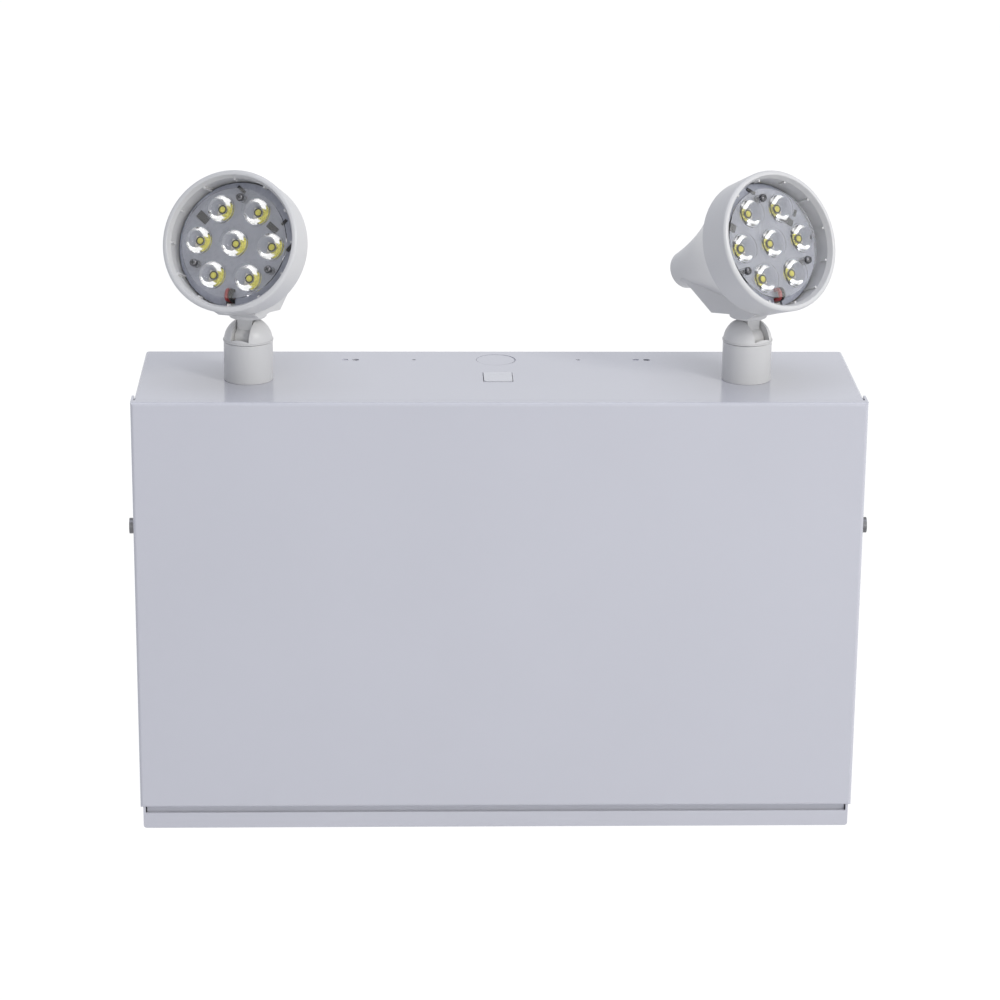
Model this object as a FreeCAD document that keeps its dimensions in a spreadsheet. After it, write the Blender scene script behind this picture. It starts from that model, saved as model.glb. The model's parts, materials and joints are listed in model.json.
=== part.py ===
import FreeCAD, Part
import math
import os
import Sketcher

Vec = FreeCAD.Vector

# Twin-head emergency light: a folded steel cabinet with a battery and charger inside,
# and two round lamp heads on swivelling, tilting knuckles on its top panel.
# Frame: millimetres, origin at the centre of the back panel's outer face,
# X to the right seen from the front, Y into the wall, Z up.

doc = FreeCAD.newDocument("TwinHeadLight")
sheet = doc.addObject("Spreadsheet::Sheet", "Sheet")

# Driving sizes, millimetres and degrees.
SIZES = (
    # cabinet
    ("cover_wide", 360.0),
    ("case_high", 224.4),
    ("strip_high", 11.6),
    ("case_deep", 95.0),
    ("sheet_thick", 1.2),
    ("fold_gap", 0.15),
    ("bend_rad", 1.6),
    ("flange_deep", 13.0),
    ("top_fold", 4.6),
    ("stiff_high", 10.0),
    ("lip_high", 8.2),
    ("tongue_drop", 7.0),
    ("tongue_gap", 0.6),
    ("cover_screw_drop", 65.0),
    ("cover_screw_back", 7.0),
    ("cover_screw_rad", 2.0),
    ("cover_screw_long", 8.0),
    ("cover_head_rad", 3.9),
    ("cover_head_high", 2.2),
    ("cover_hole_rad", 2.2),
    ("cover_nut_rad", 3.6),
    ("cover_nut_long", 3.5),
    ("wall_hole_wide", 280.0),
    ("wall_hole_high", 90.0),
    ("wall_hole_drop", 17.2),
    ("wall_hole_rad", 2.75),
    ("knock_rad", 10.1),
    ("knock_back", 17.0),
    ("knock_cut", 0.45),
    ("knock_lean", 0.25),
    ("back_knock_drop", 45.0),
    ("vent_span", 148.0),
    ("vent_half", 2.75),
    ("vent_rad", 1.7),
    ("dimple_deep", 0.4),
    ("dot_span", 83.6),
    ("dot_rad", 1.0),
    # test button
    ("button_wide", 14.3),
    ("button_long", 16.2),
    ("button_front", 37.9),
    ("button_proud", 0.5),
    ("button_tall", 11.5),
    ("button_travel", 2.5),
    ("button_gap", 0.3),
    ("button_corner", 1.2),
    ("button_round", 0.3),
    ("switch_wall", 2.2),
    ("switch_base", 3.0),
    # posts and knuckles
    ("post_span", 248.2),
    ("post_front", 43.4),
    ("post_rad", 12.2),
    ("post_high", 19.8),
    ("post_tail", 14.0),
    ("post_top_round", 0.5),
    ("post_foot_round", 0.35),
    ("washer_rad", 13.0),
    ("washer_thick", 1.5),
    ("washer_gap", 0.2),
    ("post_nut_wide", 5.6),
    ("post_nut_high", 6.0),
    ("tail_rad", 8.0),
    ("pivot_high", 19.7),
    ("turn_gap", 0.3),
    ("run_gap", 0.05),
    ("stem_rad", 5.0),
    ("seat_room", 1.8),
    ("seat_web", 1.8),
    ("wire_bore", 2.6),
    ("dome_in", 0.1),
    ("ledge_out", 0.3),
    ("ledge_high", 0.6),
    ("knuckle_slot", 9.4),
    ("slot_mouth_high", 3.128),
    ("hub_rad", 7.6),
    ("tongue_thick", 7.9),
    ("tongue_half", 4.3),
    ("tilt_pin_rad", 2.0),
    ("pin_gap", 0.02),
    ("pin_short", 0.3),
    ("clip_rad", 7.4),
    ("clip_thick", 1.0),
    ("clip_mouth_half", 3.6),
    ("groove_deep", 0.7),
    ("stem_past", 1.4),
    # lamp heads
    ("left_pan", -20.2),
    ("right_pan", 35.3),
    ("lamp_lift", 22.35),
    ("lamp_reach", 40.5),
    ("lamp_drop", 10.1),
    ("mouth_rad", 31.4),
    ("rim_wide", 3.75),
    ("lip_out", 1.5),
    ("lip_lead", 1.2),
    ("lip_deep", 1.4),
    ("lip_round", 0.4),
    ("band_long", 17.8),
    ("band_thick", 2.2),
    ("rim_round", 1.6),
    ("rib_deep", 1.0),
    ("rib_root", 0.6),
    ("rib_start", 1.6),
    ("rib_gap", 0.2),
    ("long_rib_half", 0.55),
    ("short_rib_half", 0.45),
    ("short_rib_end", 5.5),
    ("rib_turn", 5.0),
    ("shoulder_thick", 1.4),
    ("spigot_gap", 0.3),
    ("spigot_wall", 2.4),
    ("column_rad", 3.2),
    ("column_past", 12.0),
    ("flare_rad", 180.0),
    ("bell_long", 77.8),
    ("nub_rad", 9.0),
    ("nub_end", 84.3),
    ("bell_wall", 2.6),
    ("boss_half", 11.0),
    ("boss_in", 4.0),
    ("boss_end", 9.0),
    ("boss_toe_gap", 0.2),
    ("boss_heel_back", 15.3),
    ("boss_heel_high", 12.7),
    ("boss_flat_back", 2.0),
    ("boss_toe_front", 11.0),
    ("boss_tail_back", 35.0),
    ("boss_tail_high", 23.8),
    ("collar_rad", 9.3),
    ("collar_high", 14.8),
    ("collar_thick", 2.4),
    ("collar_gap", 0.2),
    ("collar_round", 0.6),
    ("arm_tail_rad", 4.0),
    ("arm_hole_gap", 0.1),
    ("arm_past", 2.0),
    ("nut_seat_high", 20.0),
    ("arm_nut_high", 5.0),
    ("arm_nut_rad", 7.5),
    ("nut_room", 0.8),
    ("board_front", 11.0),
    ("board_thick", 1.6),
    ("board_gap", 0.6),
    ("notch_gap", 0.4),
    ("notch_deep", 4.8),
    ("led_side", 4.8),
    ("led_high", 1.6),
    ("lens_rad", 7.5),
    ("lens_front", 3.9),
    ("lens_foot", 4.9),
    ("lens_well", 3.8),
    ("lens_air", 1.2),
    ("lens_edge_high", 1.1),
    ("lens_web_gap", 4.2),
    ("lens_edge", 0.9),
    ("lens_web_back", 0.8),
    ("lens_web_thick", 1.2),
    ("lens_pillar_rad", 3.0),
    ("pillar_edge", 1.6),
    ("lamp_screw_rad", 1.2),
    ("lamp_head_rad", 1.9),
    ("lamp_head_high", 1.3),
    ("lamp_screw_bite", 7.0),
    ("screw_gap", 0.15),
    ("thread_gap", 0.03),
    ("hole_past", 0.5),
    ("lead_rad", 0.95),
    ("lead_half", 1.05),
    ("lead_front", 7.6),
    ("lead_bend", 1.7),
    ("lead_room", 0.25),
    ("lead_pad_in", 8.2),
    ("lead_edge_in", 3.4),
    ("lead_behind", 4.4),
    ("lead_over", 9.0),
    # inside the cabinet
    ("battery_wide", 151.0),
    ("battery_deep", 65.0),
    ("battery_high", 94.0),
    ("battery_left", 12.0),
    ("tab_in", 14.0),
    ("tab_back", 16.0),
    ("tab_half", 3.2),
    ("tab_thick", 0.8),
    ("tab_high", 7.0),
    ("strap_wide", 26.0),
    ("foot_screw_rad", 2.0),
    ("foot_head_rad", 3.4),
    ("foot_head_high", 2.0),
    ("foot_hole_gap", 0.1),
    ("battery_lead_rad", 1.3),
    ("battery_lead_bend", 3.5),
    ("charger_wide", 150.0),
    ("charger_high", 92.0),
    ("charger_right", 14.0),
    ("charger_drop", 12.0),
    ("charger_thick", 1.6),
    ("standoff_long", 9.0),
    ("standoff_rad", 3.5),
    ("standoff_in", 5.0),
    ("board_screw_rad", 1.5),
    ("board_screw_long", 7.0),
    ("board_head_rad", 2.8),
    ("board_head_high", 1.9),
    ("fuse_rad", 2.6),
    ("port_in", 34.5),
    ("port_pitch", 6.3),
    ("port_rad", 1.7),
    ("core_wide", 58.0),
    ("core_high", 48.0),
    ("core_deep", 24.0),
    ("core_up", 40.0),
    ("core_foot", 6.0),
    ("coil_out", 9.0),
    ("coil_gap", 0.2),
    ("frame_thick", 1.2),
    ("frame_half", 9.0),
    ("frame_out", 11.0),
    ("ear_out", 6.0),
)


# Capacitors on the charger board: along and up from its corner, radius and height.
CAPACITORS = ((60, 60, 8.0, 25.0), (80, 60, 8.0, 25.0), (98, 56, 5.0, 13.0))


class Size:
    """A length that knows its value and the sheet formula it comes from."""

    def __init__(self, value, text):
        self.value = float(value)
        self.text = text

    def __add__(self, other):
        other = size(other)
        return Size(self.value + other.value, "(%s + %s)" % (self.text, other.text))

    def __sub__(self, other):
        other = size(other)
        return Size(self.value - other.value, "(%s - %s)" % (self.text, other.text))

    def __mul__(self, other):
        other = size(other)
        return Size(self.value * other.value, "(%s * %s)" % (self.text, other.text))

    def __truediv__(self, other):
        other = size(other)
        return Size(self.value / other.value, "(%s / %s)" % (self.text, other.text))

    def __neg__(self):
        return Size(-self.value, "(-1 * %s)" % self.text)

    def __radd__(self, other):
        return size(other) + self

    def __rsub__(self, other):
        return size(other) - self

    def __rmul__(self, other):
        return size(other) * self


def size(item):
    if isinstance(item, Size):
        return item
    return Size(item, repr(float(item)))


def sine(angle):
    return Size(math.sin(math.radians(angle.value)), "sin(%s)" % angle.text)


def cosine(angle):
    return Size(math.cos(math.radians(angle.value)), "cos(%s)" % angle.text)


def root(item):
    return Size(math.sqrt(item.value), "sqrt(%s)" % item.text)


def around(count, first, radius):
    """Points spaced evenly round a circle, from a first angle in degrees."""
    angles = [math.radians(first + 360.0 * n / count) for n in range(count)]
    return [(radius * round(math.cos(a), 6), radius * round(math.sin(a), 6)) for a in angles]


class Sizes:
    """The sheet's cells by name."""


s = Sizes()
for row, (alias, number) in enumerate(SIZES, start=1):
    sheet.set("A%d" % row, alias)
    sheet.set("B%d" % row, str(number))
    sheet.setAlias("B%d" % row, alias)
    setattr(s, alias, Size(number, "Sheet." + alias))
doc.recompute()

nodes = {}


def keep(node, obj):
    """Hands an object in under its node name."""
    nodes[node] = obj
    return obj


def bind(obj, prop, item):
    obj.setExpression(prop, size(item).text)


def move(obj, x, y, z):
    for axis, item in zip("xyz", (x, y, z)):
        bind(obj, "Placement.Base." + axis, item)
    return obj


# Primitives, each bound to the sheet.

TURN = {
    "X": FreeCAD.Rotation(Vec(0, 1, 0), 90),
    "Y": FreeCAD.Rotation(Vec(1, 0, 0), -90),
    "Z": FreeCAD.Rotation(),
}


def box(name, x, y, z):
    """A box between the two limits given for each axis."""
    obj = doc.addObject("Part::Box", name)
    for prop, (low, high) in zip(("Length", "Width", "Height"), (x, y, z)):
        bind(obj, prop, size(high) - low)
    return move(obj, x[0], y[0], z[0])


def rod(name, axis, start, radius, length):
    """A cylinder from a start point along +X, +Y or +Z."""
    obj = doc.addObject("Part::Cylinder", name)
    obj.Placement = FreeCAD.Placement(Vec(), TURN[axis])
    bind(obj, "Radius", radius)
    bind(obj, "Height", length)
    return move(obj, *start)


def hexagon(name, start, radius, length):
    """A six-sided bar along +Z."""
    obj = doc.addObject("Part::Prism", name)
    obj.Polygon = 6
    bind(obj, "Circumradius", radius)
    bind(obj, "Height", length)
    return move(obj, *start)


def fuse(name, parts):
    obj = doc.addObject("Part::MultiFuse", name)
    obj.Shapes = parts
    return obj


def cut(name, base, tool):
    obj = doc.addObject("Part::Cut", name)
    obj.Base = base
    obj.Tool = tool
    return obj


def group(name, parts):
    obj = doc.addObject("Part::Compound", name)
    obj.Links = parts
    return obj


def screws(name, axis, heads, head_rad, head_high, shank_rad, shank_long, way=1):
    """Pan-head screws: each head sits at its point, the shank runs on along way times the axis."""
    made = []
    for n, point in enumerate(heads):
        start = list(point)
        at = "XYZ".index(axis)
        turn = way if isinstance(way, int) else way[n]
        head_start = list(start)
        shank_start = list(start)
        if turn > 0:
            head_start[at] = size(start[at]) - head_high
        else:
            shank_start[at] = size(start[at]) - shank_long
        head = rod("%s_head%d" % (name, n), axis, head_start, head_rad, head_high)
        shank = rod("%s_shank%d" % (name, n), axis, shank_start, shank_rad, shank_long)
        made.append(fuse("%s_%d" % (name, n), [head, shank]))
    return group(name, made)


# Bodies built from sketches.

def new_body(name):
    body = doc.addObject("PartDesign::Body", name)
    body.AllowCompound = True
    return body


def origin(body, role):
    return [item for item in body.Origin.OriginFeatures if item.Role == role][0]


def sketch(body, name, role, offset=0):
    obj = body.newObject("Sketcher::SketchObject", name)
    obj.AttachmentSupport = [(origin(body, role), "")]
    obj.MapMode = "FlatFace"
    bind(obj, "AttachmentOffset.Base.z", offset)
    return obj


def pin_point(sk, geo, pos, x, y):
    """Holds one point of a sketch at sheet-driven coordinates."""
    for kind, axis, item in (("DistanceX", -2, size(x)), ("DistanceY", -1, size(y))):
        if item.value == 0.0:
            sk.addConstraint(Sketcher.Constraint("PointOnObject", geo, pos, axis))
            continue
        index = sk.addConstraint(Sketcher.Constraint(kind, -1, 1, geo, pos, item.value))
        sk.setExpression("Constraints[%d]" % index, item.text)


def circle(sk, x, y, radius):
    x, y, radius = size(x), size(y), size(radius)
    geo = sk.addGeometry(Part.Circle(Vec(x.value, y.value, 0), Vec(0, 0, 1), radius.value))
    pin_point(sk, geo, 3, x, y)
    index = sk.addConstraint(Sketcher.Constraint("Radius", geo, radius.value))
    sk.setExpression("Constraints[%d]" % index, radius.text)


def bulge(start, end, radius, side):
    """The arc of a given radius from start to end; side +1 bows to the left of the way along it."""
    chord = end - start
    half = chord.Length / 2
    left = Vec(-chord.y, chord.x, 0).normalize()
    rise = max(radius ** 2 - half ** 2, 0.0) ** 0.5
    centre = (start + end) / 2 - left * (rise * side)
    middle = centre + left * (radius * side)
    return Part.Arc(start, middle, end)


def axis_radius(start, end, axis):
    """The radius of the arc through two points whose centre lies on one sketch axis."""
    along, across = ("x", "y") if axis == "x" else ("y", "x")
    a0, a1 = getattr(start, along), getattr(end, along)
    c0, c1 = getattr(start, across), getattr(end, across)
    centre = (a1 ** 2 + c1 ** 2 - a0 ** 2 - c0 ** 2) / (2 * (a1 - a0))
    return math.hypot(a0 - centre, c0)


def outline(sk, points, arcs=None):
    """A closed outline through the points; arcs gives (kind, side) for the run after a point.

    A kind is a radius, "x" or "y" for a centre on that sketch axis, or None for a half-round run
    that stays tangent to the run before it.
    """
    arcs = arcs or {}
    points = [(size(x), size(y)) for x, y in points]
    count = len(points)
    spots = [Vec(x.value, y.value, 0) for x, y in points]
    first, ends = [], []
    for n in range(count):
        start, end = spots[n], spots[(n + 1) % count]
        if n in arcs:
            kind, side = arcs[n]
            if kind is None:
                radius = start.distanceToPoint(end) / 2
            elif kind in ("x", "y"):
                radius = axis_radius(start, end, kind)
            else:
                radius = size(kind).value
            geo = sk.addGeometry(bulge(start, end, radius, side))
            curve = sk.Geometry[geo]
            forward = curve.StartPoint.distanceToPoint(start) < 1e-6
            first.append((geo, 1 if forward else 2))
            ends.append((geo, 2 if forward else 1))
        else:
            geo = sk.addGeometry(Part.LineSegment(start, end))
            first.append((geo, 1))
            ends.append((geo, 2))
    for n in range(count):
        follow = (n + 1) % count
        kind = "Tangent" if follow in arcs and arcs[follow][0] is None else "Coincident"
        sk.addConstraint(Sketcher.Constraint(kind, *ends[n], *first[follow]))
    for n, (x, y) in enumerate(points):
        pin_point(sk, *first[n], x, y)
        kind = arcs[n][0] if n in arcs else None
        if kind in ("x", "y"):
            sk.addConstraint(Sketcher.Constraint("PointOnObject", first[n][0], 3, -1 if kind == "x" else -2))
        elif kind is not None:
            radius = size(kind)
            index = sk.addConstraint(Sketcher.Constraint("Radius", first[n][0], radius.value))
            sk.setExpression("Constraints[%d]" % index, radius.text)


def rectangle(sk, x0, x1, y0, y1):
    outline(sk, ((x0, y0), (x1, y0), (x1, y1), (x0, y1)))


def pad(body, sk, length, back=False, middle=False):
    doc.recompute()
    obj = body.newObject("PartDesign::Pad", sk.Name + "_pad")
    obj.Profile = sk
    bind(obj, "Length", length)
    obj.Reversed = back
    obj.Midplane = middle
    doc.recompute()
    return obj


def pocket(body, sk, length=None, back=False, middle=False):
    doc.recompute()
    before = body.Shape.Volume
    obj = body.newObject("PartDesign::Pocket", sk.Name + "_pocket")
    obj.Profile = sk
    if length is None:
        obj.Type = "ThroughAll"
    else:
        bind(obj, "Length", length)
    obj.Reversed = back
    obj.Midplane = middle
    doc.recompute()
    if not body.Shape.Volume < before:
        raise ValueError("nothing removed by " + obj.Name)
    return obj


def revolve(body, sk, axis, kind="Revolution"):
    doc.recompute()
    obj = body.newObject("PartDesign::" + kind, sk.Name + "_" + kind.lower())
    obj.Profile = sk
    obj.ReferenceAxis = (sk, [axis])
    obj.Angle = 360.0
    doc.recompute()
    return obj


def ring_of(body, feature, role, count):
    """Repeats a feature round one of the body's axes."""
    obj = body.newObject("PartDesign::PolarPattern", feature.Name + "_ring")
    obj.Originals = [feature]
    obj.Axis = (origin(body, role), [""])
    obj.Angle = 360.0
    obj.Occurrences = count
    body.Tip = obj
    doc.recompute()
    return obj


def round_edges(body, radius, wanted):
    """Rounds the edges of the body's last shape that the test picks out."""
    doc.recompute()
    base = body.Tip
    names = ["Edge%d" % n for n, edge in enumerate(base.Shape.Edges, start=1) if wanted(edge)]
    obj = body.newObject("PartDesign::Fillet", base.Name + "_round")
    obj.Base = (base, names)
    bind(obj, "Radius", radius)
    doc.recompute()
    return obj


def flat_edge(edge, axis, at):
    """True for an edge lying in the plane where the axis has this value."""
    box_ = edge.BoundBox
    low, high = {"x": (box_.XMin, box_.XMax), "y": (box_.YMin, box_.YMax), "z": (box_.ZMin, box_.ZMax)}[axis]
    return abs(low - at) < 1e-3 and abs(high - at) < 1e-3


def wide_edge(edge, radius):
    """True for an edge round the local axis that reaches out to this radius."""
    return edge.BoundBox.XMax > size(radius).value - 0.1


def tube(name, radius, bend, points):
    """A wire of straight runs joined by tangent arcs."""
    spots = [Vec(*[size(item).value for item in point]) for point in points]
    bend = size(bend).value
    edges = []
    start = spots[0]
    for before, corner, after in zip(spots, spots[1:], spots[2:]):
        into = (corner - before).normalize()
        out = (after - corner).normalize()
        half = into.getAngle(out) / 2
        back = bend * math.tan(half)
        arc_in = corner - into * back
        arc_out = corner + out * back
        inward = (out - into).normalize()
        reach = (bend ** 2 + back ** 2) ** 0.5
        middle = corner + inward * (reach - bend)
        edges.append(Part.makeLine(start, arc_in))
        edges.append(Part.Arc(arc_in, middle, arc_out).toShape())
        start = arc_out
    edges.append(Part.makeLine(start, spots[-1]))
    path = Part.Wire(edges)
    way = (spots[1] - spots[0]).normalize()
    profile = Part.Wire(Part.makeCircle(size(radius).value, spots[0], way))
    obj = doc.addObject("Part::Feature", name)
    obj.Shape = path.makePipeShell([profile], True, False)
    return obj


# Places shared by several pieces.
half_cover = s.cover_wide / 2
half_tray = half_cover - s.sheet_thick - s.fold_gap
half_inner = half_tray - s.sheet_thick
top = s.case_high / 2
floor = -top
under_top = top - s.sheet_thick
above_floor = floor + s.sheet_thick
back_inner = -s.sheet_thick
cover_face = -s.case_deep
cover_inner = cover_face + s.sheet_thick
tray_front = cover_inner + s.fold_gap
top_edge = cover_face + s.top_fold + s.fold_gap
cover_bottom = floor + s.strip_high
screw_z = top - s.cover_screw_drop
screw_y = cover_face + s.cover_screw_back
wall_hole_mid = top - s.wall_hole_drop - s.wall_hole_high / 2
post_x = s.post_span / 2
post_y = cover_face + s.post_front
button_y0 = cover_face + s.button_front
button_y1 = button_y0 + s.button_long
button_half = s.button_wide / 2
seat_rad = s.hub_rad + s.seat_room
seat_end = -s.hub_rad - s.turn_gap - s.seat_web
pin_half = seat_rad - s.pin_short
dome_rad = s.post_rad - s.dome_in
ledge_rad = s.post_rad + s.ledge_out
rim_rad = s.mouth_rad + s.rim_wide
lip_rad = s.mouth_rad + s.lip_lead
band_rad = s.mouth_rad + s.band_thick
shoulder_rad = s.mouth_rad + s.shoulder_thick
lamp_rise = shoulder_rad + s.lamp_drop
board_rad = s.mouth_rad - s.board_gap
lens_web_rad = s.mouth_rad - s.lens_web_gap
led_pitch = lens_web_rad - s.lens_edge - s.lens_rad
lamp_screw_ring = lens_web_rad - s.pillar_edge - s.lens_pillar_rad


def make_tray():
    """The folded back tray: shell, stiffened top edge, bottom lip and punched holes."""
    body = new_body("back_tray")
    sk = sketch(body, "tray_block", "XZ_Plane")
    rectangle(sk, -half_tray, half_tray, floor, top)
    pad(body, sk, -tray_front)
    deep = -tray_front.value
    round_edges(body, s.bend_rad,
                lambda edge: flat_edge(edge, "y", 0.0) or edge.BoundBox.YLength > deep - 1e-3)
    sk = sketch(body, "tray_inside", "XZ_Plane", s.sheet_thick)
    rectangle(sk, -half_inner, half_inner, above_floor, under_top)
    pocket(body, sk, back=True)
    sk = sketch(body, "tray_notch", "XZ_Plane", -top_edge)
    rectangle(sk, -half_cover, half_cover, under_top - s.fold_gap, top + 1)
    pocket(body, sk, back=True)
    sk = sketch(body, "tray_stiffener", "XZ_Plane", -top_edge - s.sheet_thick)
    rectangle(sk, -half_inner - 0.2, half_inner + 0.2, top - s.stiff_high, under_top + 0.2)
    pad(body, sk, s.sheet_thick)
    sk = sketch(body, "tray_lip", "XZ_Plane", -tray_front - s.sheet_thick)
    rectangle(sk, -half_inner - 0.2, half_inner + 0.2, above_floor - 0.2, floor + s.lip_high)
    pad(body, sk, s.sheet_thick)

    sk = sketch(body, "top_holes", "XY_Plane", top)
    for way in (-1, 1):
        circle(sk, post_x * way, post_y, s.tail_rad + 0.15)
        circle(sk, s.dot_span / 2 * way, -s.knock_back, s.dot_rad)
        circle(sk, s.vent_span / 2 * way + s.vent_half, -s.knock_back, s.vent_rad)
    gap = s.button_gap
    rectangle(sk, -button_half - gap, button_half + gap, button_y0 - gap, button_y1 + gap)
    pocket(body, sk, s.sheet_thick + 0.1)
    sk = sketch(body, "top_knockout", "XY_Plane", top)
    circle(sk, 0, -s.knock_back, s.knock_rad)
    circle(sk, -s.knock_lean, -s.knock_back - s.knock_lean, s.knock_rad - s.knock_cut)
    pocket(body, sk, s.sheet_thick * 0.6)
    sk = sketch(body, "top_dimples", "XY_Plane", top)
    for way in (-1, 1):
        circle(sk, s.vent_span / 2 * way - s.vent_half, -s.knock_back, s.vent_rad)
    pocket(body, sk, s.dimple_deep)

    sk = sketch(body, "wall_holes", "XZ_Plane")
    for x in (-1, 1):
        for z in (-1, 1):
            circle(sk, s.wall_hole_wide / 2 * x, wall_hole_mid + s.wall_hole_high / 2 * z, s.wall_hole_rad)
    pocket(body, sk, s.sheet_thick + 0.1, back=True)
    sk = sketch(body, "back_knockout", "XZ_Plane")
    circle(sk, 0, -s.back_knock_drop, s.knock_rad + 1)
    circle(sk, 0, -s.back_knock_drop, s.knock_rad + 1 - s.knock_cut)
    pocket(body, sk, s.sheet_thick * 0.6, back=True)
    sk = sketch(body, "side_holes", "YZ_Plane")
    circle(sk, screw_y, screw_z, s.cover_hole_rad)
    pocket(body, sk, s.cover_wide, middle=True)
    return keep("back_tray", body)


def make_cover():
    """The front cover: a folded pan that wraps the tray's sides and hooks behind its lip."""
    body = new_body("front_cover")
    sk = sketch(body, "cover_block", "XZ_Plane", s.case_deep - s.flange_deep)
    rectangle(sk, -half_cover, half_cover, cover_bottom, top)
    pad(body, sk, s.flange_deep)
    round_edges(body, s.bend_rad, lambda edge: flat_edge(edge, "y", cover_face.value))
    sk = sketch(body, "cover_inside", "XZ_Plane", -cover_inner)
    rectangle(sk, -half_cover + s.sheet_thick, half_cover - s.sheet_thick,
              cover_bottom + s.sheet_thick, top - s.sheet_thick)
    pocket(body, sk)
    sk = sketch(body, "cover_trim", "XZ_Plane", s.case_deep - s.top_fold)
    rectangle(sk, -half_cover + s.sheet_thick, half_cover - s.sheet_thick, cover_bottom - 1, top + 1)
    pocket(body, sk)
    sk = sketch(body, "cover_tongue", "XZ_Plane", s.case_deep - s.top_fold)
    rectangle(sk, -half_inner + s.tongue_gap, half_inner - s.tongue_gap,
              cover_bottom - s.tongue_drop, cover_bottom + s.sheet_thick)
    pad(body, sk, s.sheet_thick)
    sk = sketch(body, "cover_hook_ends", "XZ_Plane", -cover_inner)
    for way in (-1, 1):
        rectangle(sk, (half_inner - s.fold_gap) * way, (half_cover - s.sheet_thick) * way,
                  cover_bottom - 1, cover_bottom + s.sheet_thick + s.fold_gap)
    pocket(body, sk)
    sk = sketch(body, "flange_holes", "YZ_Plane")
    circle(sk, screw_y, screw_z, s.cover_hole_rad)
    pocket(body, sk, s.cover_wide + 2, middle=True)
    return keep("front_cover", body)


def make_cover_fixings():
    """The two side screws of the cover and the nuts fixed inside the tray's walls."""
    heads = [(half_cover * way, screw_y, screw_z) for way in (-1, 1)]
    keep("cover_screws", screws("cover_screws", "X", heads, s.cover_head_rad, s.cover_head_high,
                                s.cover_screw_rad, s.cover_screw_long, way=(1, -1)))
    made = []
    for n, way in enumerate((-1, 1)):
        start = -half_inner if way < 0 else half_inner - s.cover_nut_long
        blank = rod("cover_nut_blank%d" % n, "X", (start, screw_y, screw_z), s.cover_nut_rad,
                    s.cover_nut_long)
        bore = rod("cover_nut_bore%d" % n, "X", (start - 1, screw_y, screw_z), s.cover_screw_rad + s.run_gap,
                   s.cover_nut_long + 2)
        made.append(cut("cover_nut%d" % n, blank, bore))
    keep("cover_nuts", group("cover_nuts", made))


def make_switch():
    """The test switch under the top panel and the button that slides in it."""
    gap = s.button_gap
    wall = s.switch_wall
    well_x = (-button_half - gap, button_half + gap)
    well_y = (button_y0 - gap, button_y1 + gap)
    button_bottom = top + s.button_proud - s.button_tall
    well_floor = button_bottom - s.button_travel - gap
    blank = box("switch_blank", (well_x[0] - wall, well_x[1] + wall), (well_y[0] - wall, well_y[1] + wall),
                (well_floor - s.switch_base, under_top))
    well = box("switch_well", well_x, well_y, (well_floor, under_top + 1))
    keep("switch_body", cut("switch_body", blank, well))
    body = new_body("test_button")
    sk = sketch(body, "button_face", "XY_Plane", button_bottom)
    rectangle(sk, -button_half, button_half, button_y0, button_y1)
    pad(body, sk, s.button_tall)
    face = top.value + s.button_proud.value
    low = button_bottom.value
    round_edges(body, s.button_corner, lambda edge: edge.BoundBox.ZLength > (face - low) * 0.9)
    round_edges(body, s.button_round, lambda edge: flat_edge(edge, "z", face))
    keep("test_button", body)


def make_post(side, way):
    """The fixed post, clamped through the top panel by a washer and nut."""
    name = side + "_post"
    body = new_body(name)
    sk = sketch(body, name + "_profile", "XZ_Plane")
    bore = s.stem_rad + s.run_gap
    seat = seat_rad + s.run_gap
    seat_floor = s.pivot_high + seat_end - s.turn_gap
    outline(sk, ((bore, -s.post_tail), (s.tail_rad, -s.post_tail), (s.tail_rad, 0), (s.post_rad, 0),
                 (s.post_rad, s.post_high), (seat, s.post_high), (seat, seat_floor), (bore, seat_floor)))
    revolve(body, sk, "V_Axis")
    for height, radius in ((s.post_high.value, s.post_top_round), (0.0, s.post_foot_round)):
        round_edges(body, radius, lambda edge: flat_edge(edge, "z", height) and wide_edge(edge, s.post_rad))
    move(body, post_x * way, post_y, top)
    keep(name, body)

    name = side + "_post_washer"
    under_washer = under_top - s.washer_thick
    blank = rod(name + "_blank", "Z", (0, 0, 0), s.washer_rad, s.washer_thick)
    bore = rod(name + "_bore", "Z", (0, 0, -1), s.tail_rad + s.washer_gap, s.washer_thick + 2)
    keep(name, move(cut(name, blank, bore), post_x * way, post_y, under_washer))
    name = side + "_post_nut"
    blank = hexagon(name + "_blank", (0, 0, 0), s.tail_rad + s.post_nut_wide, s.post_nut_high)
    bore = rod(name + "_bore", "Z", (0, 0, -1), s.tail_rad + s.run_gap, s.post_nut_high + 2)
    keep(name, move(cut(name, blank, bore), post_x * way, post_y, under_washer - s.post_nut_high))


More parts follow.
